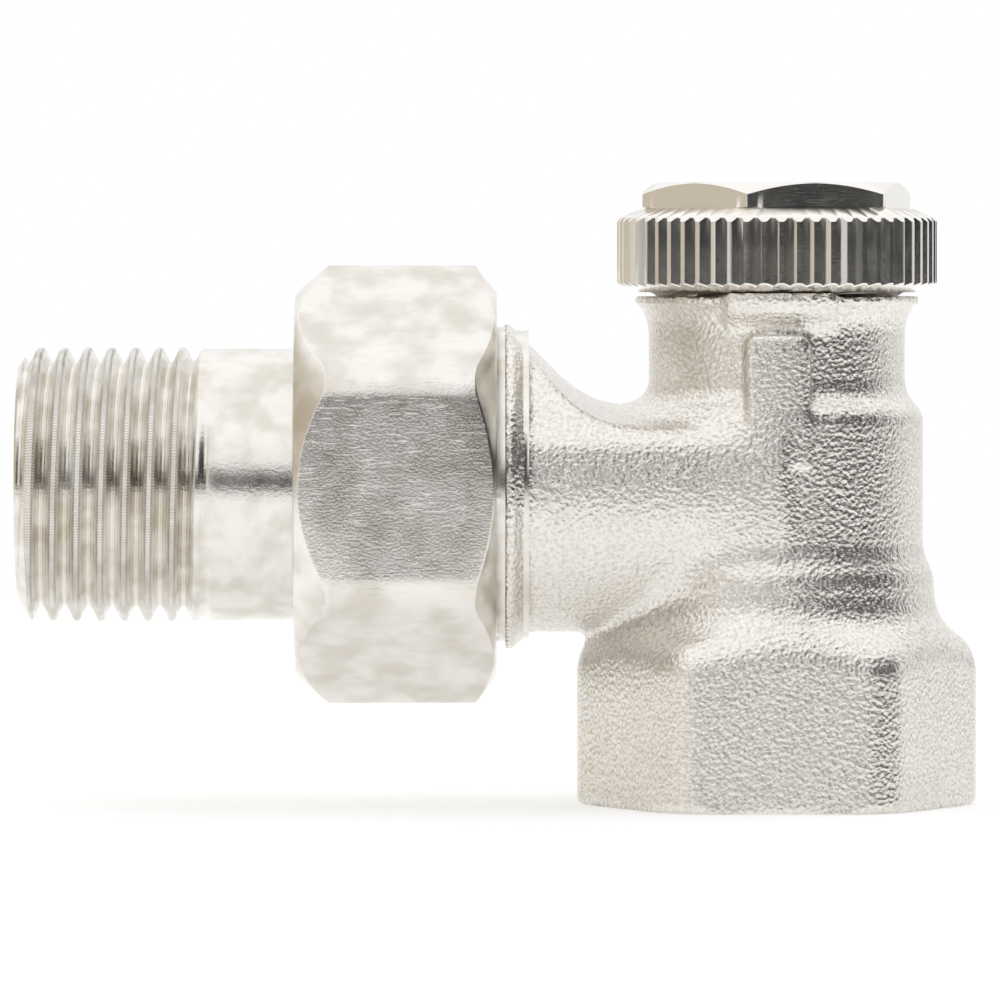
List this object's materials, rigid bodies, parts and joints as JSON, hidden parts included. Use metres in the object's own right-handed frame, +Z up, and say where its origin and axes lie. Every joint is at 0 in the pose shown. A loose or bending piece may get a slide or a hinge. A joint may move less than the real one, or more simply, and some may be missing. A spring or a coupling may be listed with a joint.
{
  "type": "angled return valve",
  "caption": "Angled radiator return valve: hexagonal pipe socket below, union nut and threaded tailpiece at the side, shut-off and presetting spindles under a knurled cap.",
  "frame": {"origin": "centre of the pipe socket's mouth, on the spindle's axis", "axes": "+Z up the spindle's axis, -X out along the tailpiece, -Y towards the front"},
  "size_m": [0.0737, 0.03, 0.0476],
  "materials": {
    "cast_nickel": "satin",
    "turned_nickel": "polished",
    "bare_brass": "satin",
    "spring_steel": "satin",
    "seal_rubber": "matte"
  },
  "bodies": {
    "valve_body": {"valve_body": "cast_nickel", "headwork": "bare_brass", "headwork_o_ring": "seal_rubber", "spindle_stop_ring": "spring_steel"},
    "cap_seal": {"cap_gasket": "seal_rubber"},
    "cap": {"cap": "turned_nickel"},
    "tail": {"tailpiece": "turned_nickel"},
    "union": {"union_nut": "turned_nickel"},
    "closing_plug": {"plug": "bare_brass", "seat_washer": "seal_rubber", "washer_retainer": "bare_brass", "plug_clip": "spring_steel"},
    "shutoff": {"shutoff_spindle": "bare_brass", "upper_spindle_o_ring": "seal_rubber", "lower_spindle_o_ring": "seal_rubber"},
    "preset_seal": {"preset_o_ring": "seal_rubber"},
    "preset": {"preset_spindle": "bare_brass"}
  },
  "joints": [
    {"name": "cap_rise", "type": "slide", "parent": "valve_body", "child": "cap_seal", "axis": [0, 0, 1], "range_m": [0, 0.00544]},
    {"name": "cap_turn", "type": "hinge", "parent": "cap_seal", "child": "cap", "pos_m": [0, 0, 0.042], "axis": [0, 0, 1], "range_deg": [0, 1080]},
    {"name": "tail_draw", "type": "slide", "parent": "valve_body", "child": "tail", "axis": [-1, 0, 0], "range_m": [0, 0.00907]},
    {"name": "nut_turn", "type": "hinge", "parent": "tail", "child": "union", "pos_m": [-0.029, 0, 0.0245], "axis": [-1, 0, 0], "range_deg": [0, 1800]},
    {"name": "plug_lift", "type": "slide", "parent": "valve_body", "child": "closing_plug", "axis": [0, 0, 1], "range_m": [0, 0.0025]},
    {"name": "spindle_turn", "type": "hinge", "parent": "closing_plug", "child": "shutoff", "pos_m": [0, 0, 0.03], "axis": [0, 0, 1], "range_deg": [0, 900]},
    {"name": "cone_travel", "type": "slide", "parent": "shutoff", "child": "preset_seal", "axis": [0, 0, -1], "range_m": [0, 0.0015]},
    {"name": "preset_turn", "type": "hinge", "parent": "preset_seal", "child": "preset", "pos_m": [0, 0, 0.025], "axis": [0, 0, -1], "range_deg": [0, 1080]}
  ],
  "couplings": [
    {"joint": "cap_turn", "follows": "cap_rise", "rad_per_m": 3463.7},
    {"joint": "nut_turn", "follows": "tail_draw", "rad_per_m": 3463.7},
    {"joint": "spindle_turn", "follows": "plug_lift", "rad_per_m": 6283.2},
    {"joint": "preset_turn", "follows": "cone_travel", "rad_per_m": 12566}
  ]
}
